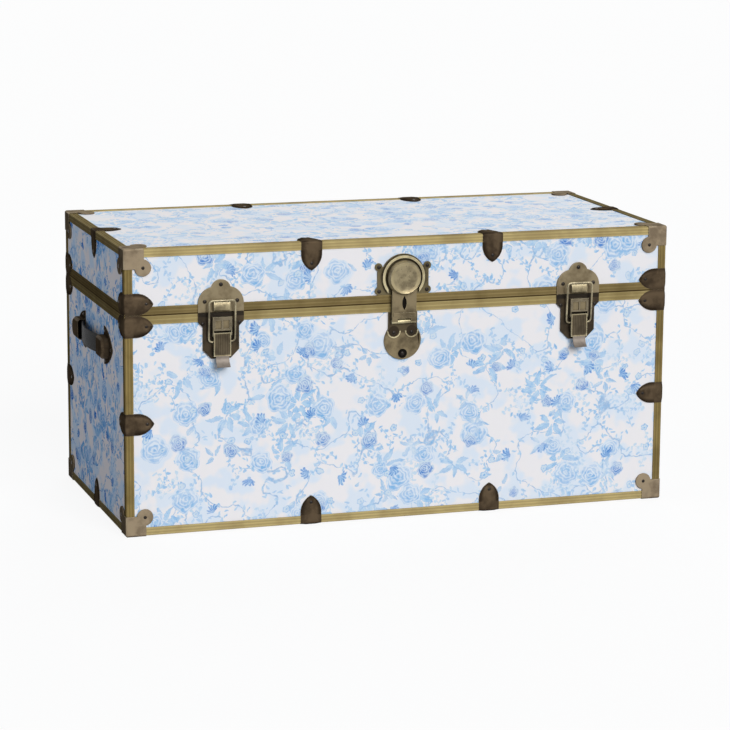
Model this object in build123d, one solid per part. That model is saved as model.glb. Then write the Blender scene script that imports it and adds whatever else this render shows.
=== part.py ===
from build123d import *
from math import asin, atan2, cos, degrees, sin
import os

# Storage trunk: printed boards, brass edge bindings, stamped clamps and corner caps, a hinged lid
# with two draw-bolt latches and a centre hasp, and a strap handle on each end. All sizes are in mm.
# X runs along the width, the front faces -Y, Z is up and the origin is on the floor under the middle.

# Overall size over the corner caps
trunk_w = 762.0
trunk_d = 360.0
trunk_h = 384.0
lid_h = 88.5
closure_gap = 0.4

# Sides of each small round that repeats: knuckles, wire, lobes and ears
round_sides = 16

# Boards, bindings, clamps and caps
board_t = 8.0
band_sheet = 0.8
ridge_h = 0.4
ridge_w = 1.9
ridge_count = 3
band_w = 11.0
band_bevel = 0.5
butt_gap = 0.3
clamp_sheet = 1.0
clamp_w = 29.0
clamp_reach = 36.0
clamp_straight = 13.0
clamp_bevel = 1.2
clamp_chords = 3
mid_clamp_share = 0.511
cap_side = 27.5
cap_lobe_at = 26.0
cap_lobe_r = 11.2
cap_bevel = 1.8
cap_tuck = 12.0

# Rims along the closure, with a tongue on the body that stands inside the lid
body_rim_h = 12.0
lid_rim_h = 11.0
rim_inner_h = 9.0
tongue_h = 8.0
tongue_clear = 0.5

# Draw-bolt latches
latch_in = 130.0
latch_sheet = 1.3
latch_wide = 62.0
latch_narrow = 49.0
latch_foot = 26.0
latch_base_h = 61.5
latch_foot_h = 11.5
latch_upper_h = 12.5
ear_sheet = 1.2
ear_front = 9.6
lever_w = 23.0
lever_sheet = 1.5
lever_front = 9.7
lever_flange = 1.3
lever_flange_back = 3.7
lever_top_above = 1.6
lever_len = 31.0
lever_tail_w = 18.0
lever_tail_r = 15.0
lever_tail_turn = 58.0
lever_pin_r = 1.2
lever_pin_drop = 28.0
lever_pin_out = 6.2
block_h = 18.0
block_drop = 5.4
lever_flange_below = 3.9
pocket_depth = 1.0
pocket_border = 2.2
side_clear = 0.3
pin_fit = 0.05

# Wire bail of the latch and the catch on the lid that it pulls down
wire_r = 1.3
bail_half_w = 17.7
bail_corner = 3.2
bail_drop = 10.5
bail_bar_above = 16.2
bail_clear = 0.4
catch_h = 43.0
catch_ear_h = 12.5
catch_lobe_w = 26.0
catch_lobe_h = 9.8
catch_knee_w = 54.0
catch_knee_h = 23.9
nose_w = 22.4
nose_front = 8.5
nose_bottom = 1.3
nose_h = 12.6
nose_bevel = 2.0
nose_lip = 1.3

# Centre hasp, its lower plate and the lock plate on the lid
hasp_sheet = 2.4
hasp_back = 6.0
hasp_w = 34.0
hasp_disc_r = 23.3
hasp_disc_above = 34.5
hasp_disc_front = 13.0
hasp_rim_r = 20.8
hasp_dish_r = 17.0
hasp_dish = 1.4
hasp_flange = 1.4
hasp_flange_back = 2.8
hasp_axis_drop = 24.5
hasp_barrel_r = 3.0
hasp_pin_r = 1.2
hasp_knuckle_w = 18.0
step_t = 0.7
step_up = 3.0
step_h = 5.0
step_inset = 2.0
keyhole_h = 19.0
keyhole_w = 6.2
keyhole_depth = 1.6
keyhole_drop = 34.0
lower_plate_t = 2.0
lower_stem_w = 41.0
lower_round_r = 26.0
lower_round_drop = 51.0
lip_h = 1.2
lip_r = 9.6
lip_w = 1.7
lip_x = 12.5
lip_drop = 38.0
dimple_r = 6.4
dimple_depth = 0.9
dimple_up = 8.0
lock_plate_t = 1.8
lock_arch_r = 31.5
lock_half_w = 36.0
lock_ear_r = 5.3
lock_ear_x = 34.2
lock_ear_up = 14.6
collar_r = 29.6
collar_w = 3.5
collar_h = 3.8
collar_open_w = 43.0
staple_w = 13.0
staple_leg = 3.0
staple_h = 3.4
staple_bar = 1.2

# Strap handles on the ends
handle_drop = 59.5
handle_half = 106.0
handle_mouth = 58.0
handle_plate_h = 52.0
handle_plate_t = 1.4
handle_shoulder = 0.62
pouch_h = 12.6
pouch_wall = 1.2
pouch_len = 36.0
pouch_bevel = 3.2
pouch_inner_bevel = 2.2
strap_h = 25.0
strap_t = 3.6
strap_end_gap = 0.4
strap_side_clear = 0.8
strap_bow = 8.6

# Hinges on the back
hinge_in = 151.0
leaf_w = 50.0
leaf_h = 28.0
leaf_sheet = 1.4
barrel_r = 3.2
barrel_clear = 0.3
hinge_pin_r = 1.5
leaf_corner = 6.0

# Worked out from the sizes above
closure_z = trunk_h - lid_h
front_clamp_x = trunk_w / 6
mid_clamp_z = mid_clamp_share * closure_z
latch_x = trunk_w / 2 - latch_in
hasp_disc_z = closure_z + hasp_disc_above
handle_z = closure_z - handle_drop
hinge_x = trunk_w / 2 - hinge_in
band_t = band_sheet + ridge_h
skin_t = band_t + clamp_sheet
half_w = trunk_w / 2 - skin_t
half_d = trunk_d / 2 - skin_t
board_bottom = skin_t
board_top = trunk_h - skin_t
flange_in = band_w - band_t
binding_start = cap_side - cap_tuck - skin_t
body_rim_top = closure_z - closure_gap / 2
lid_rim_bottom = closure_z + closure_gap / 2
body_wall_top = body_rim_top - band_sheet
lid_wall_bottom = lid_rim_bottom + band_sheet
lid_lip_in = board_t + band_sheet
tongue_out = lid_lip_in + tongue_clear
tongue_in = tongue_out + band_sheet
latch_face = band_t + latch_sheet
far = 2000.0

WALLS = {
    "front": ((0, -half_d), (0, 1)),
    "back": ((0, half_d), (0, -1)),
    "left": ((-half_w, 0), (1, 0)),
    "right": ((half_w, 0), (-1, 0)),
}


def face_frame(wall):
    """Frame on a wall's outer face: x across the wall, y up from the floor, z outward."""
    (px, py), (nx, ny) = WALLS[wall]
    return Plane(origin=(px, py, 0), x_dir=(ny, -nx, 0), z_dir=(-nx, -ny, 0)).location


def edge_frame(origin, inward_a, inward_b):
    """Frame on a board edge: x and y run inward along the two faces, z along the edge."""
    a, b = Vector(*inward_a), Vector(*inward_b)
    return Plane(origin=origin, x_dir=a, z_dir=a.cross(b)).location


def block(x0, x1, y0, y1, z0, z1):
    """Box between two corners."""
    return Pos((x0 + x1) / 2, (y0 + y1) / 2, (z0 + z1) / 2) * Box(x1 - x0, y1 - y0, z1 - z0)


def prism(points, height):
    """Upright prism over a polygon in the XY plane."""
    return extrude(make_face(Polyline(points, close=True)), height)


def across(sketch, width):
    """A side profile, drawn as (outward, up), made into a solid of that width centred on x = 0."""
    side = Plane(origin=(width / 2, 0, 0), x_dir=(0, 0, 1), z_dir=(-1, 0, 0))
    return extrude(side * sketch, width)


def small_round(radius):
    """Small disc with its corners on the circle."""
    return RegularPolygon(radius, round_sides)


def rod(x0, x1, up, out, radius):
    """Round bar along x at a height and a distance out from the wall."""
    return Pos((x0 + x1) / 2, up, out) * Rot(0, 90, 0) * Cylinder(radius, x1 - x0)


def knuckle(x0, x1, up, out, radius):
    """Rolled knuckle along x, as a small round."""
    return Pos(x0, up, out) * Rot(0, 90, 0) * extrude(small_round(radius), x1 - x0)


def bore(up, out, radius):
    """Hole along x whose flats clear a pin of that radius by the running fit."""
    hole = RegularPolygon(radius + pin_fit, round_sides, major_radius=False)
    return Pos(-far / 2, up, out) * Rot(0, 90, 0) * extrude(hole, far)


def group(solids):
    return Compound(children=list(solids))


def save(name, shape):
    export_step(shape, "parts/" + name + ".step")


# Boards

def wall_board(wall, z0, z1):
    """Front and back boards run the full width; end boards stand between them."""
    if wall in ("front", "back"):
        y0, y1 = (-half_d, -half_d + board_t) if wall == "front" else (half_d - board_t, half_d)
        return block(-half_w, half_w, y0, y1, z0, z1)
    x0, x1 = (-half_w, -half_w + board_t) if wall == "left" else (half_w - board_t, half_w)
    return block(x0, x1, -half_d + board_t, half_d - board_t, z0, z1)


# Edge bindings

def ridge_starts(width):
    """Where the lengthwise ridges begin on a flange of that width, evenly spread."""
    step = (width - ridge_w) / (ridge_count - 1)
    return [i * step for i in range(ridge_count)]


def binding(length):
    """Ridged right-angle strip, outside a board edge that lies on the z axis."""
    sheet = Rectangle(flange_in + band_sheet, band_sheet, align=(Align.MIN, Align.MAX))
    flat = Pos(-band_sheet, 0) * sheet
    for start in ridge_starts(flange_in):
        ridge = Rectangle(ridge_w, ridge_h + band_sheet, align=(Align.MIN, Align.MAX))
        flat += Pos(start, 0) * ridge
    angle = flat + mirror(flat, about=Plane(origin=(0, 0, 0), z_dir=(1, -1, 0)))
    outer = angle.vertices().sort_by(lambda v: v.X + v.Y)[:1]
    angle = chamfer(outer, band_bevel)
    return extrude(Pos(0, 0, -length / 2) * angle, length)


def level_binding(wall, z, up):
    """Binding along a top or bottom edge; up is the way inward from that edge, +1 or -1."""
    (px, py), (nx, ny) = WALLS[wall]
    long_edge = wall in ("front", "back")
    length = 2 * ((half_w if long_edge else half_d) - binding_start)
    return edge_frame((px, py, z), (nx, ny, 0), (0, 0, up)) * binding(length)


def upright_bindings(z0, z1):
    """The four vertical corner bindings between two heights."""
    pieces = []
    for sx in (-1, 1):
        for sy in (-1, 1):
            origin = (sx * half_w, sy * half_d, (z0 + z1) / 2)
            pieces.append(edge_frame(origin, (-sx, 0, 0), (0, -sy, 0)) * binding(z1 - z0))
    return group(pieces)


# Rims along the closure

def mitred(wall, sketch, z):
    """Sweeps a rim section, drawn as (inward, up), along a wall and mitres both ends."""
    (px, py), (nx, ny) = WALLS[wall]
    run = Vector(nx, ny, 0).cross(Vector(0, 0, 1))
    start = Vector(px, py, z) - run * far / 2
    bar = extrude(Plane(origin=start, x_dir=(nx, ny, 0), z_dir=run) * sketch, far)
    out, deep = band_t, 2 * tongue_in
    w = half_w if wall in ("front", "back") else half_d
    d = half_d if wall in ("front", "back") else half_w
    outer, inner = [(-w - out, -d - out), (w + out, -d - out)], [(w - deep, -d + deep), (-w + deep, -d + deep)]
    wedge = prism(outer + inner, far)
    turn = {"front": 0, "right": 90, "back": 180, "left": 270}[wall]
    return bar & (Rot(0, 0, turn) * wedge)


def rim_flange(height):
    """Outer flange of a rim with its ridges, hanging down from y = 0 on the wall's outer face."""
    flat = Pos(-band_sheet, -height) * Rectangle(band_sheet, height, align=(Align.MIN, Align.MIN))
    for start in ridge_starts(height):
        ridge = Rectangle(band_t, ridge_w, align=(Align.MIN, Align.MIN))
        flat += Pos(-band_t, -height + start) * ridge
    return flat


def rim_cap():
    """Web that covers the board's edge, as thick as the sheet, just under y = 0."""
    return Rectangle(lid_lip_in, band_sheet, align=(Align.MIN, Align.MAX))


def body_rim(wall):
    """Flange, cap over the board, inner flange and the tongue that stands up inside the lid."""
    inner = Rectangle(tongue_in - board_t, rim_inner_h, align=(Align.MIN, Align.MAX))
    tongue = Rectangle(band_sheet, tongue_h, align=(Align.MIN, Align.MIN))
    section = rim_flange(body_rim_h) + rim_cap() + Pos(board_t, 0) * inner + Pos(tongue_out, 0) * tongue
    return mitred(wall, section, body_rim_top)


def lid_rim(wall):
    """Flange, cap and inner lip around the lower edge of the lid."""
    lip = Rectangle(band_sheet, rim_inner_h, align=(Align.MIN, Align.MAX))
    section = rim_flange(lid_rim_h) + rim_cap() + Pos(board_t, 0) * lip
    return mitred(wall, mirror(section, about=Plane.XZ), lid_rim_bottom)


# Stamped clamps and corner caps

def clamp_outline():
    """Bullet-shaped flange: straight sides that curve in to meet at the tip, in a few chords."""
    w, s = clamp_w / 2, clamp_straight
    rise = clamp_reach - s
    radius = (w * w + rise * rise) / (2 * w)
    turn = asin(rise / radius)
    steps = [turn * i / clamp_chords for i in range(clamp_chords + 1)]
    upper = [(s + radius * sin(t), w - radius + radius * cos(t)) for t in steps]
    lower = [(x, -y) for x, y in reversed(upper[:-1])]
    return make_face(Polyline([(0, w)] + upper + lower + [(0, -w)], close=True))


def edge_clamp(rim_side=0):
    """Clamp folded over a board edge on the z axis; rim_side says where the closure lies along z."""
    outline = clamp_outline()
    first = Plane(origin=(-skin_t, 0, 0), x_dir=(1, 0, 0), z_dir=(0, -1, 0))
    second = Plane(origin=(0, -skin_t, 0), x_dir=(0, 1, 0), z_dir=(-1, 0, 0))
    clamp = extrude(first * outline, skin_t) + extrude(second * outline, skin_t)
    outer = clamp.edges().filter_by(Axis.Z).sort_by(lambda e: e.center().X + e.center().Y)[0]
    clamp = chamfer(outer, clamp_bevel)
    clamp -= block(-band_t, flange_in, -band_t, flange_in, -clamp_w, clamp_w)
    if rim_side:
        rim_h = body_rim_h if rim_side > 0 else lid_rim_h
        end = rim_side * clamp_w / 2
        low, high = sorted((end, end - rim_side * rim_h))
        clamp -= block(-band_t, far, -band_t, far, low, high)
    return clamp


def upright_clamps(z, rim_side=0):
    """One clamp on each of the four vertical edges at a height."""
    pieces = []
    for sx in (-1, 1):
        for sy in (-1, 1):
            clamp = edge_clamp(rim_side)
            if sx * sy < 0:
                clamp = mirror(clamp, about=Plane.XY)
            pieces.append(edge_frame((sx * half_w, sy * half_d, z), (-sx, 0, 0), (0, -sy, 0)) * clamp)
    return group(pieces)


def level_clamps(z, up):
    """Clamps along the top or bottom edges: two at front and back, one in the middle of each end."""
    pieces = []
    for x in (-front_clamp_x, front_clamp_x):
        for sy in (-1, 1):
            pieces.append(edge_frame((x, sy * half_d, z), (0, -sy, 0), (0, 0, up)) * edge_clamp())
    for sx in (-1, 1):
        pieces.append(edge_frame((sx * half_w, 0, z), (-sx, 0, 0), (0, 0, up)) * edge_clamp())
    return group(pieces)


def corner_cap():
    """Three-sided cap at a corner on the origin, inward along +x, +y and +z, with a lobe per face."""
    cap = block(0, cap_side, 0, cap_side, 0, cap_side)
    at_corner = [e for e in cap.edges() if min((e @ 0).length, (e @ 1).length) == 0]
    cap = chamfer(at_corner, cap_bevel)
    lobe = Pos(cap_lobe_at, cap_lobe_at) * extrude(small_round(cap_lobe_r), skin_t)
    cap += lobe
    cap += mirror(lobe, about=Plane(origin=(0, 0, 0), z_dir=(0, 1, -1)))
    cap += mirror(lobe, about=Plane(origin=(0, 0, 0), z_dir=(1, 0, -1)))
    cap -= block(skin_t, far, skin_t, far, skin_t, far)
    low, high = clamp_sheet, clamp_sheet + band_w
    tuck = cap_side - cap_tuck
    cap -= block(tuck, far, low, high, low, high)
    cap -= block(low, high, tuck, far, low, high)
    cap -= block(low, high, low, high, tuck, far)
    return cap


def corner_caps(top):
    """The four caps of the lid or of the bottom."""
    pieces = []
    for sx in (-1, 1):
        for sy in (-1, 1):
            cap = corner_cap()
            if sx > 0:
                cap = mirror(cap, about=Plane.YZ)
            if sy > 0:
                cap = mirror(cap, about=Plane.XZ)
            if top:
                cap = mirror(cap, about=Plane.XY)
            pieces.append(Pos(sx * trunk_w / 2, sy * trunk_d / 2, trunk_h if top else 0) * cap)
    return group(pieces)


# Latch, drawn on the front face: x across, y up from the floor, z outward

lever_pin_up = body_rim_top - lever_pin_drop
ear_in = lever_w / 2 + side_clear
pin_reach = ear_in + ear_sheet


def cheek_r():
    """Radius of a cheek round the lever pin."""
    return min(lever_pin_out - latch_face - side_clear, lever_pin_drop - block_drop - block_h)


def latch_base():
    """Riveted base with two cheeks and the fixed bridge between them."""
    top, foot = body_rim_top, body_rim_top - latch_base_h
    a, b, c = latch_wide / 2, latch_narrow / 2, latch_foot / 2
    neck = top - latch_upper_h
    right = [(a, top), (a, neck), (b, neck - (a - b)), (b, foot + latch_foot_h), (c, foot)]
    base = prism(right + [(-x, y) for x, y in reversed(right)], latch_face)
    base -= block(-far, far, top - body_rim_h, far, -far, band_t)
    bridge_top = top - block_drop
    bridge_low = bridge_top - block_h
    cheek = Pos(lever_pin_out, lever_pin_up) * small_round(cheek_r())
    cheek += Pos(latch_face, lever_pin_up) * Rectangle(
        ear_front - latch_face, bridge_top - lever_pin_up, align=(Align.MIN, Align.MIN))
    cheek += Pos(latch_face, lever_pin_up) * Rectangle(
        lever_pin_out - latch_face, 2 * cheek_r(), align=(Align.MIN, Align.CENTER))
    bridge = block(-ear_in, ear_in, bridge_low, bridge_top, latch_face, ear_front)
    pocket_w = ear_in - 1.5 * pocket_border
    low, high = bridge_low + pocket_border, bridge_top - 2 * pocket_border
    for side in (-1, 1):
        base += Pos(side * (ear_in + ear_sheet / 2), 0, 0) * across(cheek, ear_sheet)
        x0, x1 = sorted((side * pocket_border / 2, side * (pocket_border / 2 + pocket_w)))
        bridge -= block(x0, x1, low, high, ear_front - pocket_depth, far)
    base += bridge
    return base - bore(lever_pin_up, lever_pin_out, lever_pin_r)


def latch_lever():
    """Channel-shaped lever with flanges for pin and bail, and a tail that curls outward."""
    top = lever_pin_up + lever_top_above
    low = top - lever_len
    back = lever_front - lever_sheet
    bail_up = lever_pin_up - bail_drop
    lever = block(-lever_w / 2, lever_w / 2, low, top, back, lever_front)
    flange = make_face(Polyline([
        (lever_flange_back, top), (back, top), (back, low + lever_sheet),
        (back - lever_sheet, low + lever_sheet), (lever_flange_back, bail_up - lever_flange_below)],
        close=True))
    for side in (-1, 1):
        lever += Pos(side * (lever_w - lever_flange) / 2, 0, 0) * across(flange, lever_flange)
    end = Plane(origin=(0, low, (back + lever_front) / 2), x_dir=(1, 0, 0), z_dir=(0, -1, 0))
    curl = Axis((0, low, lever_front + lever_tail_r), (-1, 0, 0))
    lever += revolve(end * Rectangle(lever_tail_w, lever_sheet), curl, lever_tail_turn)
    lever -= bore(lever_pin_up, lever_pin_out, lever_pin_r)
    return lever - rod(-far / 2, far / 2, bail_up, lever_pin_out, wire_r + pin_fit)


def latch_bail():
    """Wire bail: both ends sit in the lever's flanges and the bar lies along the catch's nose."""
    pivot = lever_pin_up - bail_drop
    rise = lid_rim_bottom + bail_bar_above - pivot
    lean = nose_front + bail_clear + wire_r - lever_pin_out
    leg = (rise * rise + lean * lean) ** 0.5
    w, c = bail_half_w, bail_corner
    right = [(lever_w / 2 - lever_flange, 0), (w - c, 0), (w, c), (w, leg - c), (w - c, leg)]
    path = Polyline([(-x, y) for x, y in right] + right[::-1])
    start = Plane(origin=path @ 0, z_dir=path % 0)
    wire = sweep(start * small_round(wire_r), path=path, transition=Transition.RIGHT)
    return Pos(0, pivot, lever_pin_out) * Rot(degrees(atan2(lean, rise)), 0, 0) * wire


def catch_plate():
    """Arched plate on the lid with side ears and the hooked nose for the bail."""
    low, top = lid_rim_bottom, lid_rim_bottom + catch_h
    a, b = latch_wide / 2, catch_lobe_w / 2
    ear, lobe = (a, low + catch_ear_h), (b, top - catch_lobe_h)
    knee = (catch_knee_w / 2, low + catch_knee_h)
    right = Line((a, low), ear) + ThreePointArc(ear, knee, lobe)
    crown = ThreePointArc(lobe, (0, top), (-b, lobe[1]))
    outline = right + crown + mirror(right, about=Plane.YZ) + Line((-a, low), (a, low))
    plate = extrude(make_face(outline), latch_face)
    plate -= block(-far, far, -far, low + lid_rim_h, -far, band_t)
    n0, n1 = low + nose_bottom, low + nose_bottom + nose_h
    nose = [(latch_face, n0), (nose_front - nose_bevel, n0), (nose_front, n0 + nose_bevel),
            (nose_front, n1 - 2 * nose_bevel), (nose_front - nose_lip, n1),
            (nose_front - 2 * nose_lip, n1 - nose_lip), (latch_face, n1 - nose_lip)]
    return plate + across(make_face(Polyline(nose, close=True)), nose_w)


def lever_pin():
    return rod(-pin_reach, pin_reach, lever_pin_up, lever_pin_out, lever_pin_r)


# Hasp, drawn on the front face as the latch is

hasp_axis_up = body_rim_top - hasp_axis_drop
hasp_axis_out = hasp_back + hasp_sheet - hasp_barrel_r


def hasp():
    """Hinged hasp: lock disc, neck with keyhole, side flanges and two knuckles."""
    half, front = hasp_w / 2, hasp_back + hasp_sheet
    window = hasp_axis_up + hasp_barrel_r + 4 * side_clear
    arm = block(-half, half, hasp_axis_up, hasp_disc_z, hasp_back, front)
    step_low = window + step_up
    arm += block(step_inset - half, half - step_inset, step_low, step_low + step_h, front, front + step_t)
    gap = hasp_knuckle_w / 2 + side_clear
    arm -= block(-gap, gap, -far, window, -far, far)
    for side in (-1, 1):
        x0, x1 = sorted((side * (half - hasp_flange), side * half))
        arm += block(x0, x1, window, lid_rim_bottom + lid_rim_h, hasp_flange_back, hasp_back)
        x0, x1 = sorted((side * gap, side * half))
        arm += knuckle(x0, x1, hasp_axis_up, hasp_axis_out, hasp_barrel_r)
    tall, wide = keyhole_h / 2, keyhole_w / 2
    lens = ThreePointArc((0, -tall), (wide, 0), (0, tall)) + ThreePointArc((0, tall), (-wide, 0), (0, -tall))
    keyhole = extrude(make_face(lens), far)
    arm -= Pos(0, hasp_disc_z - keyhole_drop, front - keyhole_depth) * keyhole
    arm += Pos(0, hasp_disc_z, 0) * hasp_disc()
    return arm - bore(hasp_axis_up, hasp_axis_out, hasp_pin_r)


def hasp_disc():
    """Dished disc turned about the outward axis."""
    front = hasp_disc_front
    profile = [(0, hasp_back), (hasp_disc_r, hasp_back), (hasp_disc_r, hasp_back + hasp_sheet),
               (hasp_rim_r, front), (hasp_dish_r, front - hasp_dish), (0, front - hasp_dish)]
    side = Plane(origin=(0, 0, 0), x_dir=(1, 0, 0), z_dir=(0, -1, 0))
    return revolve(side * make_face(Polyline(profile, close=True)), Axis.Z)


def hasp_lower_plate():
    """Plate on the body: stem, round foot with a rivet dimple, two raised lips and the middle knuckle."""
    top = body_rim_top - body_rim_h - butt_gap
    round_up = body_rim_top - lower_round_drop
    outline = Pos(0, (top + round_up) / 2) * Rectangle(lower_stem_w, top - round_up)
    outline += Pos(0, round_up) * Circle(lower_round_r)
    plate = extrude(outline, lower_plate_t)
    lip = small_round(lip_r) - small_round(lip_r - lip_w)
    lip &= Rectangle(2 * lip_r, lip_r, align=(Align.CENTER, Align.MAX))
    for side in (-1, 1):
        plate += Pos(side * lip_x, body_rim_top - lip_drop, lower_plate_t) * extrude(lip, lip_h)
    dimple = extrude(small_round(dimple_r), far)
    plate -= Pos(0, round_up - lower_round_r + dimple_up, lower_plate_t - dimple_depth) * dimple
    half = hasp_knuckle_w / 2
    plate += knuckle(-half, half, hasp_axis_up, hasp_axis_out, hasp_barrel_r)
    plate += block(-half, half, hasp_axis_up - hasp_barrel_r / 2, hasp_axis_up + hasp_barrel_r,
                   lower_plate_t, hasp_axis_out)
    return plate - bore(hasp_axis_up, hasp_axis_out, hasp_pin_r)


def lid_lock_plate():
    """Plate on the lid: arch, four ears, raised horseshoe collar and the staple that the lock takes."""
    low = lid_rim_bottom + lid_rim_h + butt_gap
    ear_top = hasp_disc_z + lock_ear_up
    outline = Pos(0, hasp_disc_z) * Circle(lock_arch_r)
    outline += Pos(0, (low + ear_top) / 2) * Rectangle(2 * lock_half_w, ear_top - low)
    for x in (-lock_ear_x, lock_ear_x):
        for up in (ear_top, low + lock_ear_r):
            outline += Pos(x, up) * small_round(lock_ear_r)
    collar = Circle(collar_r) - Circle(collar_r - collar_w)
    collar -= Rectangle(collar_open_w, collar_r, align=(Align.CENTER, Align.MAX))
    plate = extrude(outline, lock_plate_t)
    plate += Pos(0, hasp_disc_z, lock_plate_t) * extrude(collar, collar_h)
    plate &= block(-far, far, low, far, 0, far)
    staple = block(-staple_w / 2, staple_w / 2, -staple_leg / 2, staple_leg / 2, 0, staple_h)
    opening = staple_w / 2 - staple_leg
    staple -= block(-opening, opening, -far, far, 0, staple_h - staple_bar)
    return plate + Pos(0, hasp_disc_z, lock_plate_t) * staple


def hasp_pin():
    return rod(-hasp_w / 2, hasp_w / 2, hasp_axis_up, hasp_axis_out, hasp_pin_r)


# Handle, drawn on an end face with its middle on x = 0, y = handle_z

def handle_cap():
    """Pointed plate with a hollow pouch that the strap's end sits in; its mouth faces the middle."""
    m, tip, h = handle_mouth, handle_half, handle_plate_h / 2
    shoulder = (m + handle_shoulder * (tip - m), handle_shoulder * h)
    upper = ThreePointArc((m, h), shoulder, (tip, 0))
    outline = Line((m, -h), (m, h)) + upper + mirror(upper, about=Plane.XZ)
    plate = extrude(make_face(outline), handle_plate_t)
    room = strap_h / 2 + strap_side_clear
    outer = pouch(room + pouch_wall, pouch_len, pouch_h, pouch_bevel)
    inner = pouch(room, pouch_len - pouch_wall, pouch_h - pouch_wall, pouch_inner_bevel)
    return Pos(0, handle_z, 0) * (plate + (outer - inner))


def pouch(half, length, height, bevel):
    """Bar from the mouth outward with a round end and bevelled top edges."""
    straight = length - half
    body = block(handle_mouth, handle_mouth + straight, -half, half, 0, height)
    body += Pos(handle_mouth + straight, 0, height / 2) * Cylinder(half, height)
    top = body.faces().sort_by(Axis.Z)[-1].edges()
    return chamfer(top.sort_by(Axis.X)[1:], bevel)


def handle_caps(wall):
    cap = handle_cap()
    return group([face_frame(wall) * cap, face_frame(wall) * mirror(cap, about=Plane.YZ)])


def handle_strap(wall):
    """Strap that lies flat in both caps and bows out between them."""
    d0, d1 = handle_plate_t + strap_end_gap, handle_plate_t + strap_end_gap + strap_t
    m, b = handle_mouth, strap_bow
    e = m + pouch_len - pouch_wall - strap_side_clear - strap_h / 2
    outer = Line((-e, d1), (-m, d1)) + ThreePointArc((-m, d1), (0, d1 + b), (m, d1)) + Line((m, d1), (e, d1))
    inner = Line((e, d0), (m, d0)) + ThreePointArc((m, d0), (0, d0 + b), (-m, d0)) + Line((-m, d0), (-e, d0))
    side = make_face(Line((-e, d0), (-e, d1)) + outer + Line((e, d1), (e, d0)) + inner)
    level = Plane(origin=(0, handle_z + strap_h / 2, 0), x_dir=(1, 0, 0), z_dir=(0, -1, 0))
    return face_frame(wall) * extrude(level * side, strap_h)


# Back hinges, drawn on the back face

hinge_out = band_t + barrel_clear + barrel_r


def leaf(sign):
    """Hinge leaf and its knuckles: sign -1 hangs below the closure on the body, +1 stands on the lid."""
    half, middle = leaf_w / 2, leaf_w / 6
    near = closure_z + sign * closure_gap / 2
    rim_end = near + sign * (body_rim_h if sign < 0 else lid_rim_h)
    plate = block(-half, half, *sorted((near, closure_z + sign * leaf_h)), 0, band_t + leaf_sheet)
    free = plate.edges().filter_by(Axis.Z).sort_by(lambda e: -sign * e.center().Y)[:2]
    plate = chamfer(free, leaf_corner)
    plate -= block(-far, far, *sorted((closure_z, rim_end)), -far, band_t)
    slot = barrel_r + barrel_clear
    if sign < 0:
        middle += barrel_clear
        slots, knuckles = [(-middle, middle)], [(-half, -middle), (middle, half)]
    else:
        slots, knuckles = [(-half, -middle), (middle, half)], [(-middle, middle)]
    for x0, x1 in slots:
        plate -= block(x0, x1, closure_z - slot, closure_z + slot, -far, far)
    for x0, x1 in knuckles:
        plate += knuckle(x0, x1, closure_z, hinge_out, barrel_r)
    return plate - bore(closure_z, hinge_out, hinge_pin_r)


def hinge_pin():
    return rod(-leaf_w / 2, leaf_w / 2, closure_z, hinge_out, hinge_pin_r)


def on_back(shape):
    return group([face_frame("back") * Pos(x, 0, 0) * shape for x in (-hinge_x, hinge_x)])


def main():
    os.makedirs("parts", exist_ok=True)
    lid_inner_top = board_top - board_t
    save("bottom_panel", block(-half_w, half_w, -half_d, half_d, board_bottom, board_bottom + board_t))
    save("lid_top_panel", block(-half_w, half_w, -half_d, half_d, lid_inner_top, board_top))
    for wall in WALLS:
        save(wall + "_panel", wall_board(wall, board_bottom + board_t, body_wall_top))
        save("lid_" + wall + "_panel", wall_board(wall, lid_wall_bottom, lid_inner_top))
        save(wall + "_bottom_binding", level_binding(wall, board_bottom, 1))
        save("lid_" + wall + "_binding", level_binding(wall, board_top, -1))
        save(wall + "_body_rim", body_rim(wall))
        save("lid_" + wall + "_rim", lid_rim(wall))
    body_side = body_rim_top - body_rim_h - butt_gap
    lid_side = lid_rim_bottom + lid_rim_h + butt_gap
    save("body_corner_bindings", upright_bindings(board_bottom + binding_start, body_side))
    save("lid_corner_bindings", upright_bindings(lid_side, board_top - binding_start))
    save("bottom_corner_caps", corner_caps(False))
    save("lid_corner_caps", corner_caps(True))
    save("bottom_edge_clamps", level_clamps(board_bottom, 1))
    save("lid_edge_clamps", level_clamps(board_top, -1))
    save("mid_corner_clamps", upright_clamps(mid_clamp_z))
    save("body_closure_clamps", upright_clamps(body_rim_top - clamp_w / 2, 1))
    save("lid_closure_clamps", upright_clamps(lid_rim_bottom + clamp_w / 2, -1))
    front = face_frame("front")
    for side, x in (("left", -latch_x), ("right", latch_x)):
        place = front * Pos(x, 0, 0)
        save(side + "_latch_base", place * latch_base())
        save(side + "_latch_pin", place * lever_pin())
        save(side + "_latch_lever", place * latch_lever())
        save(side + "_latch_bail", place * latch_bail())
        save(side + "_latch_catch", place * catch_plate())
        save(side + "_handle_caps", handle_caps(side))
        save(side + "_handle_strap", handle_strap(side))
    save("hasp_lower_plate", front * hasp_lower_plate())
    save("hasp_pin", front * hasp_pin())
    save("hasp", front * hasp())
    save("lid_lock_plate", front * lid_lock_plate())
    save("hinge_body_leaves", on_back(leaf(-1)))
    save("hinge_lid_leaves", on_back(leaf(1)))
    save("hinge_pins", on_back(hinge_pin()))


main()
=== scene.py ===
import math

import bmesh
import bpy
from mathutils import Matrix, Vector


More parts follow.
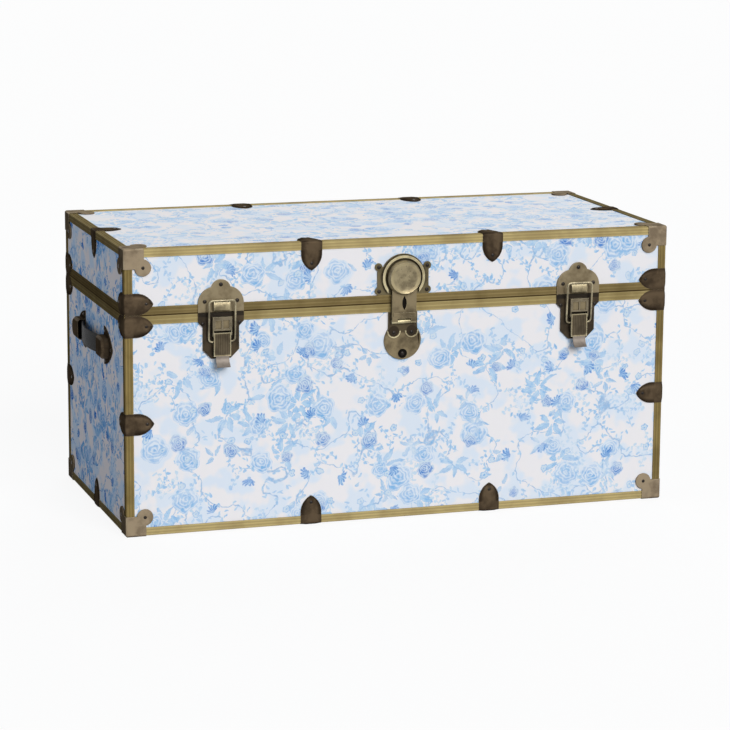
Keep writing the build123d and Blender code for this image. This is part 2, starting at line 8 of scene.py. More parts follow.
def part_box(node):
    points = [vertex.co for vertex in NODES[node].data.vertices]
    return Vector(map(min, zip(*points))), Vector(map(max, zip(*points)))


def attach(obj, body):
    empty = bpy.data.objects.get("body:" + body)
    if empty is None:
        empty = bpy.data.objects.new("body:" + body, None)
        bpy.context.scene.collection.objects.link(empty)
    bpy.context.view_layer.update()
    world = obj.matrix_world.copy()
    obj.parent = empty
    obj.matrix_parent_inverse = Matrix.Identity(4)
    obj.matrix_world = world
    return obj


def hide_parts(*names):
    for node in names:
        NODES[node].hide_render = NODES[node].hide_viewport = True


# Storage trunk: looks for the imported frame. Lengths are in metres, and MM is one millimetre.
# SIDES are the signs of what is mirrored.
MM = 0.001
SIDES = (-1, 1)
WALLS = ("front", "back", "left", "right")

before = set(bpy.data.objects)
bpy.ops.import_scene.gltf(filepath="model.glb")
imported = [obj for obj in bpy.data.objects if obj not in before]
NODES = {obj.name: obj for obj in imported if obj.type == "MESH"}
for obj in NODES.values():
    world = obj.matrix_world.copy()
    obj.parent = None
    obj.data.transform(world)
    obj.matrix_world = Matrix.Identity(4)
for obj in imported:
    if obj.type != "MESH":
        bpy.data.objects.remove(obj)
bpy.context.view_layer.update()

# Places read from the frame
HALF_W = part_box("bottom_panel")[1].x
HALF_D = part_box("bottom_panel")[1].y
BOARD_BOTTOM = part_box("bottom_panel")[0].z
BOARD_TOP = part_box("lid_top_panel")[1].z
BODY_RIM_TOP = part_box("left_latch_base")[1].z
LID_RIM_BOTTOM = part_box("left_latch_catch")[0].z
LATCH_X = sum(c.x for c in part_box("right_latch_base")) / 2
HANDLE_Z = sum(c.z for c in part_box("left_handle_caps")) / 2
CLAMP_X = HALF_W / 3 + 0.7 * MM
MID_CLAMP_Z = sum(c.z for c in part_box("mid_corner_clamps")) / 2

# What the clamps cover: the edge strips' sheet thickness and the width of their flange
BAND_T = 1.2 * MM
BAND_FLANGE = 9.8 * MM

# Clamps: heights over the board of the middle and the rim, and how far both clear a strip
CLAMP_TOP = 2.2 * MM
CLAMP_RIM = 0.8 * MM
CLAMP_CLEAR = 0.35 * MM
# half width, and along a flange: its straight part, its reach and the slope at its tip
CLAMP_HALF = 14.5 * MM
CLAMP_STRAIGHT = 14.5 * MM
CLAMP_REACH = 37.5 * MM
CLAMP_TIP = 9.0 * MM
# radius of the fold, place of the rivet and radius of the dimple round it
CLAMP_FOLD = 2.2 * MM
CLAMP_RIVET = 28.0 * MM
CLAMP_DIMPLE = 3.4 * MM
CLAMP_ROWS, CLAMP_TURNS, CLAMP_COLUMNS = 26, 6, 16

# Edges that turn more than this stay sharp or are bevelled
SHARP = math.radians(32)


# ---- Node graphs for materials

def math_method(op):
    """A Graph method that makes a Math node of this kind from its inputs."""
    def method(self, *values, clamp=False):
        return self.math(op, *values, clamp=clamp)
    return method


class Graph:
    """Short way to write a node tree: a socket links, a plain value is set on the input."""

    def __init__(self, tree):
        self.tree = tree

    def node(self, kind, inputs=(), **props):
        made = self.tree.nodes.new("ShaderNode" + kind)
        for key, value in props.items():
            setattr(made, key, value)
        for key, value in dict(inputs).items():
            self.feed(made.inputs[key], value)
        return made

    def feed(self, socket, value):
        if isinstance(value, bpy.types.NodeSocket):
            self.tree.links.new(value, socket)
        else:
            socket.default_value = value

    def math(self, op, a, b=None, c=None, clamp=False):
        made = self.tree.nodes.new("ShaderNodeMath")
        made.operation, made.use_clamp = op, clamp
        for i, value in enumerate((a, b, c)):
            if value is not None:
                self.feed(made.inputs[i], value)
        return made.outputs[0]

    add, sub, mul, div = (math_method(op) for op in ("ADD", "SUBTRACT", "MULTIPLY", "DIVIDE"))
    madd, max, abs = (math_method(op) for op in ("MULTIPLY_ADD", "MAXIMUM", "ABSOLUTE"))
    sin, cos = math_method("SINE"), math_method("COSINE")
    over, under = math_method("GREATER_THAN"), math_method("LESS_THAN")

    def vector(self, op, a, b=None, scale=None):
        made = self.tree.nodes.new("ShaderNodeVectorMath")
        made.operation = op
        self.feed(made.inputs[0], a)
        if b is not None:
            self.feed(made.inputs[1], b)
        if scale is not None:
            self.feed(made.inputs["Scale"], scale)
        return made.outputs["Value" if op == "LENGTH" else "Vector"]

    def mix(self, share, a, b):
        """Colour a where share is 0 and b where it is 1."""
        made = self.node("Mix", data_type="RGBA")
        self.feed(made.inputs["Factor"], share)
        self.feed(made.inputs[6], a)
        self.feed(made.inputs[7], b)
        return made.outputs[2]

    def step(self, value, low, high):
        """0 below low, 1 above high, smooth between."""
        made = self.node("MapRange", interpolation_type="SMOOTHSTEP")
        self.feed(made.inputs["Value"], value)
        self.feed(made.inputs["From Min"], low)
        self.feed(made.inputs["From Max"], high)
        return made.outputs["Result"]

    def noise(self, vector, scale, detail=2.0, rough=0.5):
        made = self.node("TexNoise", {"Scale": scale, "Detail": detail, "Roughness": rough})
        self.feed(made.inputs["Vector"], vector)
        return made


def srgb(r, g, b):
    """Colour given as 0 to 255 display values, in the linear values that nodes use."""
    out = []
    for c in (r, g, b):
        c /= 255
        out.append(c / 12.92 if c <= 0.04045 else ((c + 0.055) / 1.055) ** 2.4)
    return (*out, 1.0)


def new_material(name):
    """An empty material with its shader: (material, graph, shader)."""
    material = bpy.data.materials.new(name)
    material.use_nodes = True
    graph = Graph(material.node_tree)
    shader = material.node_tree.nodes["Principled BSDF"]
    return material, graph, shader


def bump(graph, shader, height, distance, strength=1.0):
    node = graph.node("Bump", {"Strength": strength, "Distance": distance})
    graph.feed(node.inputs["Height"], height)
    graph.feed(shader.inputs["Normal"], node.outputs["Normal"])


def over_boards(g, split):
    """How far a point stands out of the boards."""
    out_x = g.sub(g.abs(split.outputs["X"]), HALF_W)
    out_y = g.sub(g.abs(split.outputs["Y"]), HALF_D)
    out_top = g.sub(split.outputs["Z"], BOARD_TOP)
    out_low = g.sub(BOARD_BOTTOM, split.outputs["Z"])
    return g.max(g.max(out_x, out_y), g.max(out_top, out_low))


def facing(g, axis):
    """1 on the faces of the trunk's two ends (X) or on those that look up (Z), else 0."""
    split = g.node("SeparateXYZ")
    g.feed(split.inputs[0], g.node("TexCoord").outputs["Normal"])
    along = split.outputs[axis]
    return g.step(g.abs(along) if axis == "X" else along, 0.75, 0.97)


# ---- Metals

# The photo's metal is dark on the trunk's ends and its strips are dark on top too
# Painted shade for faces that look to the trunk's ends, and a painted dark reflection for the
# strips' faces that look up
END_PAINTED_SHADE = (44, 35, 26)
BAND_PAINTED_DARK = (58, 46, 29)
BAND_END_SHADE, BAND_TOP_SHADE = 0.68, 0.45
BAND_METALLIC = 0.2
# Painted shade in the gap where the lid's rim meets the body's rim
SEAM_PAINTED_SHADE = (58, 44, 26)
RIDGE_TOP, GROOVE_BOTTOM = 1.12 * MM, 0.86 * MM


def metal(name, base, worn_highlight, dark, rough=0.38, metallic=0.35, wear_and_highlight=1.0, grime_and_shade=1.0, gloss=0.15,
          low_shade_heights=None, above=None, spots=(), ribs=None, flat_top=False, end_shade=0.45):
    """Aged metal: a cloudy patina, edges light where scuffed (scuffing and a painted highlight),
    dark in the hollows (dirt and a painted shade), a fine grain.

    relief is the two heights over the boards between which it turns from a painted shade to its own
    colour, above the two heights over the floor between which it darkens, spots are dark discs (x,
    z, radius) and ribs is the distance between fine upright grooves, painted as shaded stripes.
    end_shade is how far it turns to END_PAINTED_SHADE, a painted shade, on the trunk's ends. It is
    matt there, and with flat_top on faces that look up too."""
    material, g, shader = new_material(name)
    place = g.node("TexCoord").outputs["Object"]
    split = g.node("SeparateXYZ")
    g.feed(split.inputs[0], place)
    cloud = g.noise(place, 42.0, 4.0, 0.62).outputs["Fac"]
    hollow = g.node("AmbientOcclusion", {"Distance": 5 * MM}, samples=6)
    ridge = g.node("AmbientOcclusion", {"Distance": 1.1 * MM}, samples=5, inside=True,
                   only_local=True)
    colour = g.mix(g.mul(g.step(cloud, 0.38, 0.66), 0.65), srgb(*base), srgb(*dark))
    # dark in the hollows: dirt, and painted shade where the hollows lie in shade
    shade = g.mul(g.step(hollow.outputs["AO"], 0.95, 0.35), grime_and_shade)
    # painted shade on low parts such as a clamp's rim, own colour on the raised middle
    if low_shade_heights:
        low = g.step(over_boards(g, split), low_shade_heights[1], low_shade_heights[0])
        shade = g.max(shade, g.mul(low, 0.8))
    if above:
        high = g.step(split.outputs["Z"], *above)
        shade = g.max(shade, g.mul(high, 0.75))
    for x, z, radius in spots:
        away = g.vector("SUBTRACT", place, (x, 0, z))
        away = g.vector("LENGTH", g.vector("MULTIPLY", away, (1, 0, 1)))
        shade = g.max(shade, g.step(away, radius, radius - 1.5 * MM))
    # painted shade: dark stripes stand in for the shade in fine grooves
    if ribs:
        wave = g.sin(g.mul(split.outputs["X"], 2 * math.pi / ribs))
        shade = g.max(shade, g.mul(g.step(wave, 0.2, 0.8), 0.7))
    colour = g.mix(shade, colour, srgb(*dark))
    # edges turn light: scuffing, and a painted highlight where edges catch the light
    rubbed_highlight = g.mul(g.step(ridge.outputs["AO"], 0.72, 0.38), wear_and_highlight)
    rubbed_highlight = g.mul(rubbed_highlight, g.step(cloud, 0.32, 0.52))
    colour = g.mix(rubbed_highlight, colour, srgb(*worn_highlight))
    # painted shade: faces that look to the trunk's ends turn dark
    ends = facing(g, "X")
    colour = g.mix(g.mul(ends, end_shade), colour, srgb(*END_PAINTED_SHADE))
    g.feed(shader.inputs["Base Color"], colour)
    dull = g.max(ends, facing(g, "Z")) if flat_top else ends
    g.feed(shader.inputs["Metallic"], g.madd(dull, -metallic, metallic))
    shader.inputs["Specular IOR Level"].default_value = gloss
    fine = g.noise(place, 260.0, 3.0, 0.6).outputs["Fac"]
    g.feed(shader.inputs["Roughness"], g.madd(fine, 0.22, rough - 0.11))
    bump(g, shader, fine, 0.00012, 0.35)
    return material


def band_metal(name, bright, dull, groove_colour):
    """Satin brass strip: bright ridges, grooves darker with dirt and painted shade, and a painted
    shade line at the closure.
    """
    material, g, shader = new_material(name)
    place = g.node("TexCoord").outputs["Object"]
    split = g.node("SeparateXYZ")
    g.feed(split.inputs[0], place)
    # grooves darker: dirt, and painted shade between the ridges
    groove = g.step(over_boards(g, split), RIDGE_TOP, GROOVE_BOTTOM)
    # painted shade along the closure, where lid and body meet
    closure_z = (BODY_RIM_TOP + LID_RIM_BOTTOM) / 2
    near = g.abs(g.sub(split.outputs["Z"], closure_z))
    seam_shade = g.step(near, 1.5 * MM, 0.5 * MM)
    streak = g.noise(place, 24.0, 3.0, 0.6).outputs["Fac"]
    brass = g.mix(g.step(streak, 0.35, 0.7), srgb(*bright), srgb(*dull))
    brass = g.mix(g.mul(groove, 0.35), brass, srgb(*groove_colour))
    # painted shade on the ends' faces and a painted dark reflection on faces that look up
    ends = facing(g, "X")
    top = facing(g, "Z")
    end_shade_top_reflection = g.max(g.mul(ends, BAND_END_SHADE), g.mul(top, BAND_TOP_SHADE))
    brass = g.mix(end_shade_top_reflection, brass, srgb(*BAND_PAINTED_DARK))
    g.feed(shader.inputs["Base Color"], g.mix(g.mul(seam_shade, 0.9), brass, srgb(*SEAM_PAINTED_SHADE)))
    g.feed(shader.inputs["Metallic"], g.madd(g.max(ends, top), -BAND_METALLIC, BAND_METALLIC))
    shader.inputs["Specular IOR Level"].default_value = 0.0
    fine = g.noise(place, 320.0, 3.0, 0.6).outputs["Fac"]
    g.feed(shader.inputs["Roughness"], g.madd(fine, 0.2, 0.3))
    bump(g, shader, fine, 0.0001, 0.3)
    return material


# ---- Printed covering

def polar(g, local):
    """Distance from the middle and the angle round it."""
    split = g.node("SeparateXYZ")
    g.feed(split.inputs[0], local)
    return g.vector("LENGTH", local), g.math("ARCTAN2", split.outputs["Y"], split.outputs["X"])


def spun(g, angle, dice):
    """The angle turned by a motif's own first die."""
    return g.madd(dice.outputs["X"], 2 * math.pi, angle)


def scatter(g, place, shift, cell, loose, share, crowd=None):
    """Motif places: (position from the nearest one, three dice of its own, 1 where it is printed).

    One in each cell of this size, as far off its middle as loose says; this share of them shows.
    crowd is (patch size, middle, half width) of the noise that gathers the motifs in patches."""
    moved = g.vector("ADD", place, shift)
    cells = g.node("TexVoronoi", {"Scale": 1.0 / cell, "Randomness": loose},
                   voronoi_dimensions="2D")
    g.feed(cells.inputs["Vector"], moved)
    dice = g.node("SeparateXYZ")
    g.feed(dice.inputs[0], cells.outputs["Color"])
    local = g.vector("SUBTRACT", moved, cells.outputs["Position"])
    shown = g.under(dice.outputs["Z"], share)
    if crowd:
        size, middle, half = crowd
        seat = g.vector("SUBTRACT", cells.outputs["Position"], shift)
        field = g.noise(seat, 1 / size, 1.0).outputs["Fac"]
        near = g.under(g.abs(g.sub(field, middle)), half)
        shown = g.mul(shown, near)
    return local, dice, shown


def leaflet(g, local, dice, length, width):
    """One small leaf turned at random: (cover, tone)."""
    distance, angle = polar(g, local)
    turned = spun(g, angle, dice)
    side = g.mul(distance, g.sin(turned))
    along = g.mul(distance, g.cos(turned))
    share = g.madd(along, 1 / length, 0.5, clamp=True)
    inside = g.mul(g.sin(g.mul(share, math.pi)), width)
    inside = g.sub(inside, g.abs(side))
    half = g.mul(g.over(side, 0.0), 0.3)
    return g.step(inside, 0.0, 0.6 * MM), g.madd(dice.outputs["Y"], 0.5, half)


def ring_flower(g, local, dice, radius):
    """Small open blossom, dark at its rim and in its heart: (cover, tone)."""
    distance, angle = polar(g, local)
    spin = g.mul(dice.outputs["X"], 6.0)
    lobe = g.abs(g.cos(g.madd(angle, 2.5, spin)))
    inside = g.sub(g.madd(lobe, 0.2 * radius, 0.8 * radius), distance)
    rim = g.step(inside, 0.34 * radius, 0.12 * radius)
    heart = g.step(distance, 0.34 * radius, 0.14 * radius)
    tone = g.madd(g.max(rim, heart), 0.85, 0.05)
    return g.step(inside, 0.0, 0.7 * MM), tone


def carnation(g, local, dice, radius):
    """Ragged blossom from the side, striped from a narrow cup to a toothed rim: (cover, tone)."""
    distance, angle = polar(g, local)
    turned = spun(g, angle, dice)
    ahead = g.step(g.cos(turned), -0.1, 0.55)
    teeth = g.abs(g.sin(g.mul(turned, 6.5)))
    reach = g.mul(g.madd(teeth, 0.28 * radius, 0.52 * radius), ahead)
    inside = g.sub(g.add(reach, 0.24 * radius), distance)
    stripe = g.madd(distance, 500.0, g.mul(turned, 6.5))
    stripe = g.abs(g.sin(stripe))
    return g.step(inside, 0.0, 0.9 * MM), g.madd(stripe, -0.75, 1.0)


# Rings of a rose's petals from the outside: (reach as a share of its size, petals, scallop)
PETALS = ((1.0, 5, 0.16), (0.74, 5, 0.14), (0.50, 3, 0.16), (0.26, 3, 0.2))


def rose(g, local, dice, radius):
    """Flower of nested petals, each dark at its rim and again at its root: (cover, tone)."""
    distance, angle = polar(g, local)
    low_side = g.mul(g.sin(angle), distance)
    size = g.madd(dice.outputs["Y"], 0.45 * radius, 0.7 * radius)
    share = g.div(distance, size)
    cover, tone = None, None
    for ring, (reach, count, depth) in enumerate(PETALS):
        spin = g.madd(dice.outputs["X"], 2 * math.pi * (ring + 1), 0.7 * ring)
        wave = g.cos(g.mul(g.add(angle, spin), count / 2))
        scallop = g.abs(wave)
        edge = g.madd(scallop, depth * reach, (1 - depth) * reach)
        inside = g.sub(edge, share)
        fold = g.step(g.abs(g.sub(inside, 0.08)), 0.03, 0.09)
        fold = g.madd(fold, 0.6, 0.02 + 0.08 * ring, clamp=True)
        within = g.step(inside, -0.01, 0.02)
        if tone is None:
            cover, tone = within, fold
        else:
            change = g.mul(within, g.sub(fold, tone))
            tone = g.add(tone, change)
    return cover, g.madd(low_side, -0.3 / radius, tone, clamp=True)


def leaf_fan(g, local, dice, count, near, far, width):
    """Leaves of uneven length round a middle, with a midrib and a darker half: (cover, tone)."""
    distance, angle = polar(g, local)
    sector = 2 * math.pi / count
    bend = g.madd(distance, 9.0, g.mul(dice.outputs["X"], 2 * math.pi))
    turned = g.add(angle, bend)
    index = g.math("FLOOR", g.div(turned, sector))
    seed = g.node("CombineXYZ")
    g.feed(seed.inputs["X"], g.math("FLOORED_MODULO", index, count))
    g.feed(seed.inputs["Y"], g.mul(dice.outputs["Y"], 97.0))
    chance = g.node("TexWhiteNoise", noise_dimensions="2D")
    g.feed(chance.inputs["Vector"], seed.outputs[0])
    luck = chance.outputs["Value"]
    within = g.sub(g.math("FLOORED_MODULO", turned, sector), sector / 2)
    side = g.mul(distance, g.sin(within))
    length = g.madd(luck, far * 0.6, far * 0.5)
    along = g.div(g.sub(distance, near), g.sub(length, near), clamp=True)
    round_part = g.sin(g.mul(g.math("POWER", along, 0.75), math.pi))
    teeth = g.madd(g.sin(g.mul(distance, 1900.0)), 0.08, 0.92)
    inside = g.sub(g.mul(g.mul(round_part, teeth), width), g.abs(side))
    cover = g.step(inside, 0.0, 0.9 * MM)
    rim = g.step(inside, 2.2 * MM, 0.4 * MM)
    half = g.over(side, 0.0)
    rib = g.step(g.abs(side), 0.8 * MM, 0.2 * MM)
    tone = g.madd(half, 0.2, g.mul(along, 0.5))
    tone = g.add(tone, g.mul(g.max(rim, rib), 0.35), clamp=True)
    return g.mul(cover, g.over(luck, 0.34)), tone


def spray(g, local, dice, count, far):
    """Thin curved stems with leaves by turns on both sides and a bud at the end: (cover, tone)."""
    distance, angle = polar(g, local)
    sector = 2 * math.pi / count
    curl = g.madd(dice.outputs["Y"], 900.0, -450.0)
    bend = g.mul(g.mul(distance, distance), curl)
    turned = g.add(g.add(angle, bend), g.mul(dice.outputs["X"], 2 * math.pi))
    within = g.sub(g.math("FLOORED_MODULO", turned, sector), sector / 2)
    side = g.mul(distance, g.sin(within))
    flank = g.mul(g.over(side, 0.0), math.pi)
    leaf_pitch, leaf_half, leaf_off = 9.5 * MM, 3.0 * MM, 2.6 * MM
    wave = g.sin(g.madd(distance, 2 * math.pi / leaf_pitch, flank))
    leaf = g.mul(g.max(wave, 0.0), leaf_half)
    off_stem = g.abs(g.sub(g.abs(side), leaf_off))
    leafy = g.step(g.sub(leaf, off_stem), 0.2 * MM, 1.0 * MM)
    stem = g.step(g.abs(side), 0.9 * MM, 0.3 * MM)
    from_bud = g.abs(g.sub(distance, far * 0.94))
    tip = g.sub(1.0, g.div(from_bud, far * 0.10))
    bud = g.sub(g.mul(tip, leaf_half), g.abs(side))
    bud = g.step(bud, 0.0, 0.8 * MM)
    reach = g.mul(g.step(distance, far, far * 0.96), g.step(distance, far * 0.1, far * 0.16))
    cover = g.mul(g.max(g.max(stem, leafy), bud), reach)
    tone = g.madd(bud, 0.4, 0.3)
    return cover, g.madd(leafy, 0.25, tone, clamp=True)


# The print's colours from the paper to the deepest blue, and the size of its vines' meanders
GROUND = srgb(238, 235, 236)
WASH = srgb(221, 230, 241)
PALE = srgb(207, 222, 235)
SOFT = srgb(185, 214, 237)
MIDDLE = srgb(128, 181, 227)
DEEP = srgb(56, 126, 206)
STEM = srgb(158, 190, 224)
LINING = srgb(222, 218, 208), srgb(234, 231, 223)
GARLAND = 85.0 * MM
BOUQUET = (100.0 * MM, 0.57, 0.10)

# Motifs from the lowest layer up: (motif, where it is scattered, its sizes, light and dark colour,
# how much ink covers what is below)
PRINT_LAYERS = (
    (leaflet, ((2.2, 5.1, 0), 8 * MM, 0.9, 0.8, (GARLAND, 0.5, 0.032)), (8.8 * MM, 1.9 * MM),
     SOFT, MIDDLE, 0.85),
    (spray, ((3.1, 1.7, 0), 60 * MM, 0.9, 0.5), (5, 28 * MM), PALE, SOFT, 0.85),
    (leaf_fan, ((7.4, 3.3, 0), 58 * MM, 0.9, 0.75, BOUQUET), (7, 3 * MM, 31 * MM, 4.6 * MM),
     SOFT, MIDDLE, 0.85),
    (rose, ((6.3, 2.9, 0), 62 * MM, 0.85, 0.9, BOUQUET), (18.5 * MM,), WASH, MIDDLE, 0.95),
    (spray, ((9.4, 4.1, 0), 50 * MM, 0.9, 0.6), (3, 24 * MM), SOFT, MIDDLE, 0.85),
    (leaf_fan, ((1.3, 9.1, 0), 66 * MM, 0.9, 0.45), (5, 2 * MM, 22 * MM, 3.6 * MM),
     PALE, MIDDLE, 0.85),
    (rose, ((1.9, 8.1, 0), 60 * MM, 0.9, 0.7, BOUQUET), (11.5 * MM,), PALE, DEEP, 0.9),
    (ring_flower, ((4.9, 6.3, 0), 40 * MM, 0.9, 0.5), (5.6 * MM,), PALE, MIDDLE, 0.95),
    (carnation, ((8.8, 7.7, 0), 70 * MM, 0.9, 0.75), (11.5 * MM,), SOFT, DEEP, 0.95),
)


def floral_group():
    """Node group: flat position on a board in metres to the print's colour."""
    tree = bpy.data.node_groups.new("floral_print", "ShaderNodeTree")
    tree.interface.new_socket("Place", in_out="INPUT", socket_type="NodeSocketVector")
    tree.interface.new_socket("Color", in_out="OUTPUT", socket_type="NodeSocketColor")
    g = Graph(tree)
    start = tree.nodes.new("NodeGroupInput").outputs["Place"]
    centred = (0.5, 0.5, 0.5)
    wobble = g.vector("SUBTRACT", g.noise(start, 48.0, 2.0, 0.7).outputs["Color"], centred)
    place = g.vector("ADD", start, g.vector("SCALE", wobble, scale=11.0 * MM))
    shake = g.vector("SUBTRACT", g.noise(start, 230.0, 1.0).outputs["Color"], centred)
    place = g.vector("ADD", place, g.vector("SCALE", shake, scale=2.4 * MM))
    # pigment is the colour's grain, water the large pale patches, pool the places where it gathers
    pigment = g.noise(start, 150.0, 5.0, 0.78).outputs["Fac"]
    water = g.noise(start, 26.0, 2.0).outputs["Fac"]
    pool = g.madd(g.noise(start, 75.0, 1.0).outputs["Fac"], 0.9, -0.48)
    colour = g.mix(g.step(water, 0.47, 0.6), GROUND, WASH)
    line = g.noise(place, 1 / GARLAND, 1.0).outputs["Fac"]
    line = g.step(g.abs(g.sub(line, 0.5)), 0.006, 0.002)
    colour = g.mix(g.mul(line, g.step(pigment, 0.3, 0.55)), colour, STEM)
    for motif, where, sizes, light, dark, ink in PRINT_LAYERS:
        local, dice, shown = scatter(g, place, *where)
        cover, tone = motif(g, local, dice, *sizes)
        tone = g.add(g.add(tone, pool), g.madd(pigment, 1.7, -0.87), clamp=True)
        dry = g.step(water, 0.7, 0.35)
        fade = g.mul(g.madd(dry, 0.35, ink - 0.25), shown)
        fade = g.mul(cover, fade, clamp=True)
        colour = g.mix(fade, colour, g.mix(tone, light, dark))
    out = tree.nodes.new("NodeGroupOutput")
    g.feed(out.inputs["Color"], colour)
    return tree


FLORAL = floral_group()


def print_material(name, across, up, shift, out_axis, inner, depth=1.0, gloss=0.15):
    """Printed covering outside, plain lining paper where the board faces the inside.

    across and up are the print's axes on the board, moved by shift. A point is outside where it
    lies past inner on out_axis, away from the trunk's middle. depth over 1 darkens the print, its
    blues most, as a painted shade."""
    material, g, shader = new_material(name)
    place = g.node("TexCoord").outputs["Object"]
    split = g.node("SeparateXYZ")
    g.feed(split.inputs[0], place)
    flat = g.node("CombineXYZ")
    g.feed(flat.inputs["X"], g.add(split.outputs[across], shift[0]))
    g.feed(flat.inputs["Y"], g.add(split.outputs[up], shift[1]))
    floral = g.node("Group")
    floral.node_tree = FLORAL
    g.feed(floral.inputs["Place"], flat.outputs[0])
    fibre = g.noise(place, 900.0, 2.0).outputs["Fac"]
    lining = g.mix(g.step(fibre, 0.3, 0.7), *LINING)
    outward = g.mul(split.outputs[out_axis], math.copysign(1, inner))
    outside = g.over(outward, abs(inner))
    inked = g.node("Gamma", {"Color": floral.outputs["Color"], "Gamma": depth})
    g.feed(shader.inputs["Base Color"], g.mix(outside, lining, inked.outputs[0]))
    shader.inputs["Roughness"].default_value = 0.5
    shader.inputs["Specular IOR Level"].default_value = gloss
    bump(g, shader, fibre, 0.00006, 0.3)
    return material


# ---- Leather and the materials in use

def leather(name):
    material, g, shader = new_material(name)
    place = g.node("TexCoord").outputs["Object"]
    pores = g.node("TexVoronoi", {"Scale": 900.0}, feature="DISTANCE_TO_EDGE")
    g.feed(pores.inputs["Vector"], place)
    grain = g.step(pores.outputs["Distance"], 0.0, 0.25)
    cloud = g.noise(place, 60.0, 3.0).outputs["Fac"]
    g.feed(shader.inputs["Base Color"], g.mix(cloud, srgb(12, 12, 13), srgb(28, 28, 29)))
    g.feed(shader.inputs["Roughness"], g.madd(cloud, 0.2, 0.4))
    shader.inputs["Specular IOR Level"].default_value = 0.06
    bump(g, shader, grain, 0.0002, 0.4)
    return material


# Strips: ridges, cloudy patches, grooves with their dirt and painted shade. Other metals: own
# colour, edges with their scuffing and painted highlight, hollows with their dirt and painted
# shade, then how rough, how metallic and how much the edges lighten.
BAND = band_metal("edge_brass", (194, 175, 122), (170, 151, 104), (130, 112, 74))
UPRIGHT = band_metal("upright_brass", (146, 127, 80), (124, 107, 66), (96, 80, 48))
BODY_RIM = band_metal("body_rim_brass", (176, 158, 108), (152, 135, 90), (112, 96, 62))
LID_RIM = band_metal("lid_rim_brass", (142, 124, 82), (122, 106, 68), (90, 75, 46))
BRONZE = metal("stamped_bronze", (94, 79, 61), (152, 135, 108), (38, 30, 23), 0.4, 0.2, 0.8,
               gloss=0.0, low_shade_heights=(1.0 * MM, 2.15 * MM), flat_top=True)
CAP = metal("cap_brass", (156, 139, 114), (192, 175, 147), (96, 82, 66), 0.45, 0.2, 0.6,
            gloss=0.0, flat_top=True, end_shade=0.7)
PLATE = metal("plate_brass", (134, 120, 92), (206, 192, 150), (50, 41, 29), 0.34)
OLIVE = metal("lock_brass", (110, 99, 72), (176, 162, 122), (38, 31, 22), 0.36)
CATCH = metal("catch_brass", (144, 130, 102), (208, 194, 156), (88, 73, 51), 0.34)
DISC = metal("disc_brass", (170, 156, 121), (220, 206, 164), (100, 84, 58), 0.34)
BRIDGE = metal("bridge_brass", (126, 115, 94), (206, 194, 160), (46, 38, 27), 0.32, 0.4)
BACK = metal("plate_back", (122, 109, 83), (122, 109, 83), (50, 41, 29), 0.38, wear_and_highlight=0.0)
LIPS_X, LIPS_Z, LIPS_R = 12.5 * MM, BODY_RIM_TOP - 38 * MM, 8.4 * MM
LOWER = metal("lower_plate_brass", (136, 121, 92), (198, 182, 140), (50, 41, 29), 0.36,
              above=(LIPS_Z - 5 * MM, LIPS_Z - 1 * MM),
              spots=[(s * LIPS_X, LIPS_Z, LIPS_R) for s in SIDES])
BRIGHT = metal("bright_brass", (158, 145, 114), (236, 226, 190), (56, 46, 32), 0.3, 0.45)
# Polished, and a painted highlight: the lightest brass for knuckles, the lock's collar and the
# hasp's barrel
POLISH_HIGHLIGHT = metal("polished_highlight_brass", (200, 187, 148), (240, 232, 200), (96, 82, 54), 0.32, 0.4,
                 grime_and_shade=0.5)
DARK = metal("dark_plate", (74, 62, 45), (120, 104, 76), (20, 16, 11), 0.4, 0.2, 0.6,
             above=(BODY_RIM_TOP - 6.0 * MM, BODY_RIM_TOP - 5.2 * MM))
RIBBED = metal("ribbed_face", (94, 83, 64), (130, 114, 84), (46, 38, 27), 0.4, 0.2, 0.4,
               ribs=2.4 * MM)
# Painted reflection: the lever's outward-curled tail takes the pale pinkish grey of the print it
# mirrors
TAIL_REFLECTION = metal("tail_painted_reflection", (137, 127, 117), (170, 160, 149), (96, 86, 76), 0.45, 0.2, 0.5,
             grime_and_shade=0.4)
# Painted shade: near black for the floors of holes and slots, which lie in shade
RECESS_SHADE = metal("recess_painted_shade", (22, 18, 14), (40, 33, 26), (10, 8, 6), 0.7, 0.0, 0.0, gloss=0.05)
WIRE = metal("steel_wire", (176, 164, 134), (236, 228, 202), (62, 53, 38), 0.28, 0.5)
RIVET = metal("rivet_dark", (36, 29, 22), (96, 82, 64), (16, 12, 9), 0.3, 0.4, 0.6, gloss=0.3)
LEATHER = leather("strap_leather")


# ---- Mesh helpers

def wall_frame(wall):
    """4x4 frame on a wall's outer face: x to the right seen from outside, y up, z outward."""
    axes = {
        "front": ((1, 0, 0), (0, -HALF_D, 0), (0, -1, 0)),
        "back": ((-1, 0, 0), (0, HALF_D, 0), (0, 1, 0)),
        "left": ((0, -1, 0), (-HALF_W, 0, 0), (-1, 0, 0)),
        "right": ((0, 1, 0), (HALF_W, 0, 0), (1, 0, 0)),
    }
    x, origin, z = axes[wall]
    return columns(x, (0, 0, 1), z, origin)


def columns(x, y, z, origin):
    m = Matrix((x, y, z)).transposed().to_4x4()
    m.translation = Vector(origin)
    return m


def add_piece(name, mesh, body, material, replaces=(), bevel=0.0):
    """Shades smooth with sharp corners kept, bevels if asked, and hangs the piece on its body."""
    bm = bmesh.new()
    bm.from_mesh(mesh)
    bmesh.ops.recalc_face_normals(bm, faces=bm.faces)
    for face in bm.faces:
        face.smooth = True
    for edge in bm.edges:
        edge.smooth = len(edge.link_faces) != 2 or edge.calc_face_angle(0) < SHARP
    bm.to_mesh(mesh)
    bm.free()
    piece = bpy.data.objects.new(name, mesh)
    bpy.context.scene.collection.objects.link(piece)
    mesh.materials.append(material)
    if bevel:
        round_edges(piece, bevel)
    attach(piece, body)
    if replaces:
        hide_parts(*replaces)
    return piece


